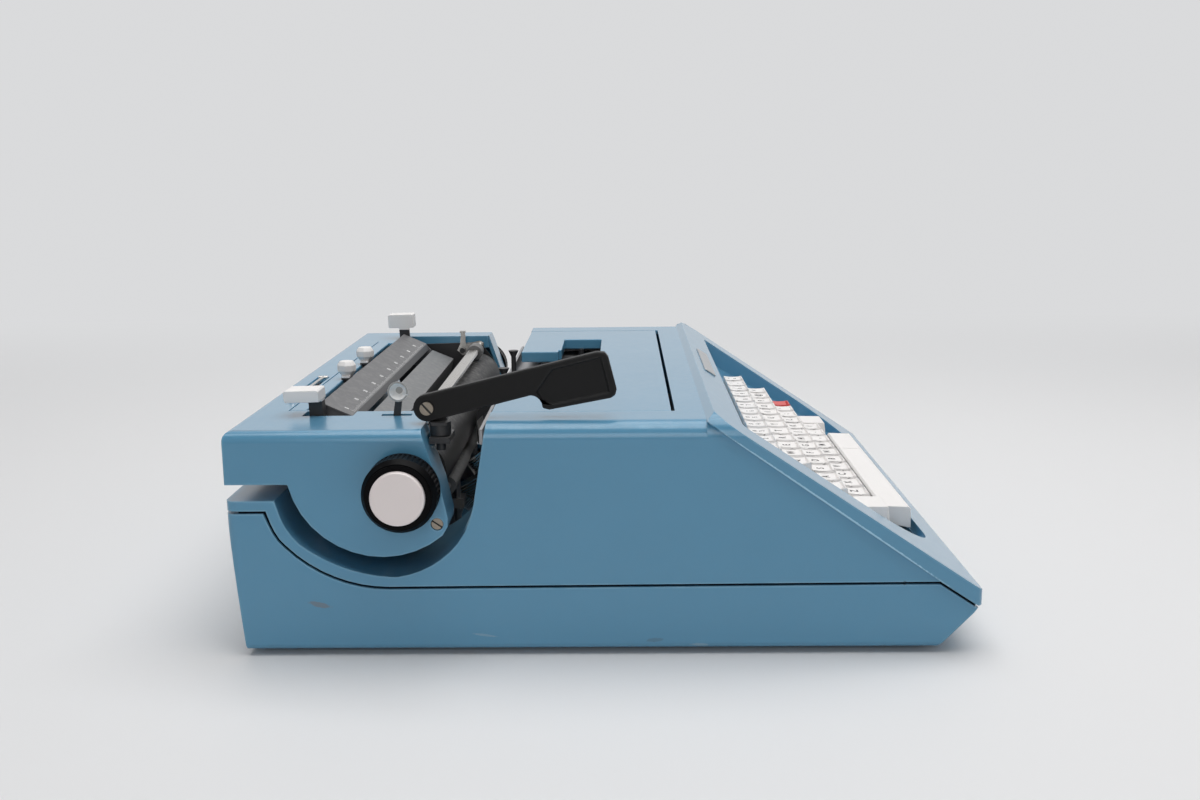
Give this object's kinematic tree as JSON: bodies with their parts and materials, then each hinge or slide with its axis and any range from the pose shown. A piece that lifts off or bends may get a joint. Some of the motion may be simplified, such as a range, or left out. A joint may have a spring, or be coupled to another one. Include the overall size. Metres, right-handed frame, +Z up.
{
  "type": "manual typewriter",
  "caption": "Manual typewriter with a sunk keyboard, basket of typebars, sliding carriage, platen with knobs and return lever.",
  "frame": {"origin": "middle of the footprint at the underside of the feet", "axes": "+Z up, the keyboard faces -Y, the operator's left is -X, +X is the end with the right platen knob"},
  "size_m": [0.406, 0.3819, 0.1549],
  "materials": {
    "case_paint": "satin petrol blue paint",
    "ivory_plastic": "moulded key tops, semi-gloss",
    "red_plastic": "moulded key top, semi-gloss",
    "black_plastic": "knurled plastic",
    "cap_metal": "spun face",
    "lever_paint": "charcoal enamel",
    "steel": "plated sheet and rod",
    "dark_metal": "blackened sheet",
    "nickel": "nickel plate",
    "platen_rubber": "hard black rubber",
    "grey_rubber": "grey rubber",
    "foot_rubber": "black rubber",
    "plate_metal": "brushed plate",
    "bell_metal": "plain brass",
    "scale_metal": "grey enamel with a printed scale",
    "screw_metal": "aged plate",
    "ribbon_black": "wound inked ribbon on a black spool"
  },
  "bodies": {
    "case": {"base_shell": "case_paint", "upper_shell": "case_paint", "name_plate": "plate_metal", "rubber_feet": "foot_rubber", "side_frames": "steel", "cross_bars": "steel", "carriage_bed": "steel", "bell": "bell_metal", "type_guide": "dark_metal", "spool_cups": "dark_metal", "key_fulcrum": "steel"},
    "lid": {"ribbon_cover": "case_paint"},
    "mainspring_drum": {"spring_drum": "steel"},
    "escapement": {"escape_wheel": "steel"},
    "type_basket": {"type_segment": "steel", "typebars": "nickel"},
    "middle_typebar": {"centre_typebar": "nickel"},
    "vibrator": {"ribbon_vibrator": "nickel"},
    "left_spool": {"ribbon_spool_left": "ribbon_black"},
    "right_spool": {"ribbon_spool_right": "ribbon_black"},
    "row_1": {"row_1_keys": "ivory_plastic", "row_1_levers": "steel"},
    "row_2": {"row_2_keys": "ivory_plastic", "row_2_levers": "steel"},
    "row_3": {"row_3_keys": "ivory_plastic", "row_3_levers": "steel"},
    "row_4": {"row_4_keys": "ivory_plastic", "row_4_levers": "steel"},
    "middle_key": {"centre_key": "ivory_plastic"},
    "shift_lock": {"lock_key": "ivory_plastic"},
    "tabulator": {"tab_key": "red_plastic"},
    "space": {"space_bar": "ivory_plastic", "space_arms": "steel"},
    "spacer": {"spacer_key": "ivory_plastic"},
    "shift": {"left_shift_key": "ivory_plastic", "right_shift_key": "ivory_plastic", "shift_frame": "steel"},
    "carriage": {"carriage_cover": "case_paint", "cover_insert": "case_paint", "end_plates": "dark_metal", "carriage_rail": "steel", "paper_table": "scale_metal", "cover_screws": "screw_metal"},
    "platen_unit": {"platen": "platen_rubber", "platen_shaft": "steel", "left_knob": "black_plastic", "right_knob": "black_plastic", "knob_caps": "cap_metal", "ratchet_wheel": "steel"},
    "front_feed": {"feed_roller_front": "grey_rubber"},
    "rear_feed": {"feed_roller_rear": "grey_rubber"},
    "bail": {"bail_bar": "nickel"},
    "bail_wheels": {"bail_rollers": "grey_rubber"},
    "hub": {"lever_hub": "dark_metal"},
    "lever": {"return_lever": "lever_paint"},
    "selector": {"line_space_lever": "ivory_plastic"},
    "release": {"release_levers": "ivory_plastic"},
    "left_stop": {"margin_stop_left": "ivory_plastic"},
    "right_stop": {"margin_stop_right": "ivory_plastic"},
    "paper_support": {"support_wire": "nickel"}
  },
  "joints": [
    {"name": "carriage_travel", "type": "slide", "parent": "case", "child": "carriage", "axis": [1, 0, 0], "range_m": [-0.1, 0.1]},
    {"name": "drum_turn", "type": "hinge", "parent": "case", "child": "mainspring_drum", "pos_m": [0.07, 0.128, 0.0153], "axis": [0, 0, 1], "range_deg": [-330, 330]},
    {"name": "escape_turn", "type": "hinge", "parent": "case", "child": "escapement", "pos_m": [-0.04064, 0.1122, 0.041], "axis": [0, 0, 1], "range_deg": [-1185, 1185]},
    {"name": "lid_hinge", "type": "hinge", "parent": "case", "child": "lid", "pos_m": [0, -0.0353, 0.121], "axis": [1, 0, 0], "range_deg": [0, 75]},
    {"name": "basket_shift", "type": "slide", "parent": "case", "child": "type_basket", "axis": [0, 0, -1], "range_m": [0, 0.006]},
    {"name": "middle_typebar_swing", "type": "hinge", "parent": "type_basket", "child": "middle_typebar", "pos_m": [0, 0.08103, 0.03393], "axis": [-1, 0, 0], "range_deg": [0, 71.5]},
    {"name": "vibrator_lift", "type": "slide", "parent": "case", "child": "vibrator", "axis": [0, 0, 1], "range_m": [0, 0.008]},
    {"name": "left_spool_turn", "type": "hinge", "parent": "case", "child": "left_spool", "pos_m": [-0.105, 0.02, 0.103], "axis": [0, 0, 1], "continuous": true},
    {"name": "right_spool_turn", "type": "hinge", "parent": "case", "child": "right_spool", "pos_m": [0.105, 0.02, 0.103], "axis": [0, 0, 1], "continuous": true},
    {"name": "row_1_press", "type": "hinge", "parent": "case", "child": "row_1", "pos_m": [0, 0.04, 0.032], "axis": [1, 0, 0], "range_deg": [0, 2.92], "stiffness_Nm_per_rad": 6, "springref_deg": -6.88},
    {"name": "row_2_press", "type": "hinge", "parent": "case", "child": "row_2", "pos_m": [0, 0.04, 0.032], "axis": [1, 0, 0], "range_deg": [0, 2.57], "stiffness_Nm_per_rad": 6, "springref_deg": -6.88},
    {"name": "row_3_press", "type": "hinge", "parent": "case", "child": "row_3", "pos_m": [0, 0.04, 0.032], "axis": [1, 0, 0], "range_deg": [0, 2.3], "stiffness_Nm_per_rad": 6, "springref_deg": -6.88},
    {"name": "row_4_press", "type": "hinge", "parent": "case", "child": "row_4", "pos_m": [0, 0.04, 0.032], "axis": [1, 0, 0], "range_deg": [0, 2.07], "stiffness_Nm_per_rad": 6, "springref_deg": -6.88},
    {"name": "middle_key_press", "type": "hinge", "parent": "case", "child": "middle_key", "pos_m": [0, 0.04, 0.032], "axis": [1, 0, 0], "range_deg": [0, 2.3], "stiffness_Nm_per_rad": 0.9, "springref_deg": -6.88},
    {"name": "shift_lock_press", "type": "hinge", "parent": "case", "child": "shift_lock", "pos_m": [0, 0.04, 0.032], "axis": [1, 0, 0], "range_deg": [0, 2.3], "stiffness_Nm_per_rad": 0.9, "springref_deg": -6.88},
    {"name": "tabulator_press", "type": "hinge", "parent": "case", "child": "tabulator", "pos_m": [0, 0.04, 0.032], "axis": [1, 0, 0], "range_deg": [0, 2.3], "stiffness_Nm_per_rad": 0.9, "springref_deg": -6.88},
    {"name": "space_press", "type": "hinge", "parent": "case", "child": "space", "pos_m": [0, 0.04, 0.032], "axis": [1, 0, 0], "range_deg": [0, 1.83], "stiffness_Nm_per_rad": 2, "springref_deg": -6.88},
    {"name": "spacer_press", "type": "hinge", "parent": "case", "child": "spacer", "pos_m": [0, 0.04, 0.032], "axis": [1, 0, 0], "range_deg": [0, 1.83], "stiffness_Nm_per_rad": 0.9, "springref_deg": -6.88},
    {"name": "shift_press", "type": "hinge", "parent": "case", "child": "shift", "pos_m": [0, 0.04, 0.032], "axis": [1, 0, 0], "range_deg": [0, 2.04], "stiffness_Nm_per_rad": 3, "springref_deg": -11.46},
    {"name": "platen_turn", "type": "hinge", "parent": "carriage", "child": "platen_unit", "pos_m": [0, 0.1004, 0.0889], "axis": [1, 0, 0], "continuous": true},
    {"name": "front_feed_turn", "type": "hinge", "parent": "carriage", "child": "front_feed", "pos_m": [0, 0.09, 0.0692], "axis": [1, 0, 0], "continuous": true},
    {"name": "rear_feed_turn", "type": "hinge", "parent": "carriage", "child": "rear_feed", "pos_m": [0, 0.1162, 0.0732], "axis": [1, 0, 0], "continuous": true},
    {"name": "bail_lift", "type": "hinge", "parent": "carriage", "child": "bail", "pos_m": [0, 0.111, 0.1083], "axis": [-1, 0, 0], "range_deg": [0, 35]},
    {"name": "bail_wheels_turn", "type": "hinge", "parent": "bail", "child": "bail_wheels", "pos_m": [0, 0.098, 0.1116], "axis": [1, 0, 0], "continuous": true},
    {"name": "return_swing", "type": "hinge", "parent": "carriage", "child": "hub", "pos_m": [-0.165, 0.0834, 0.113], "axis": [0, 0, 1], "range_deg": [0, 38], "stiffness_Nm_per_rad": 0.25, "springref_deg": -8.59},
    {"name": "return_fold", "type": "hinge", "parent": "hub", "child": "lever", "pos_m": [-0.165, 0.0897, 0.1268], "axis": [-1, 0, 0], "range_deg": [0, 60]},
    {"name": "selector_set", "type": "hinge", "parent": "carriage", "child": "selector", "pos_m": [-0.14, 0.111, 0.1083], "axis": [1, 0, 0], "range_deg": [-10, 10]},
    {"name": "release_pull", "type": "hinge", "parent": "carriage", "child": "release", "pos_m": [0, 0.134, 0.104], "axis": [1, 0, 0], "range_deg": [0, 25]},
    {"name": "left_stop_slide", "type": "slide", "parent": "carriage", "child": "left_stop", "axis": [-1, 0, 0], "range_m": [0, 0.09]},
    {"name": "right_stop_slide", "type": "slide", "parent": "carriage", "child": "right_stop", "axis": [1, 0, 0], "range_m": [0, 0.09]},
    {"name": "support_raise", "type": "hinge", "parent": "carriage", "child": "paper_support", "pos_m": [-0.099, 0.176, 0.1182], "axis": [0, -1, 0], "range_deg": [0, 80]}
  ],
  "couplings": [
    {"joint": "drum_turn", "follows": "carriage_travel", "rad_per_m": -57.14},
    {"joint": "escape_turn", "follows": "carriage_travel", "rad_per_m": -206.2},
    {"joint": "front_feed_turn", "follows": "platen_turn", "ratio": -3.4},
    {"joint": "rear_feed_turn", "follows": "platen_turn", "ratio": -3.4},
    {"joint": "bail_wheels_turn", "follows": "platen_turn", "ratio": -3.0909},
    {"joint": "right_spool_turn", "follows": "left_spool_turn", "ratio": 1},
    {"joint": "middle_typebar_swing", "follows": "middle_key_press", "ratio": 31.043},
    {"joint": "vibrator_lift", "follows": "middle_key_press", "m_per_rad": 0.1968},
    {"joint": "basket_shift", "follows": "shift_press", "m_per_rad": 0.16571}
  ]
}
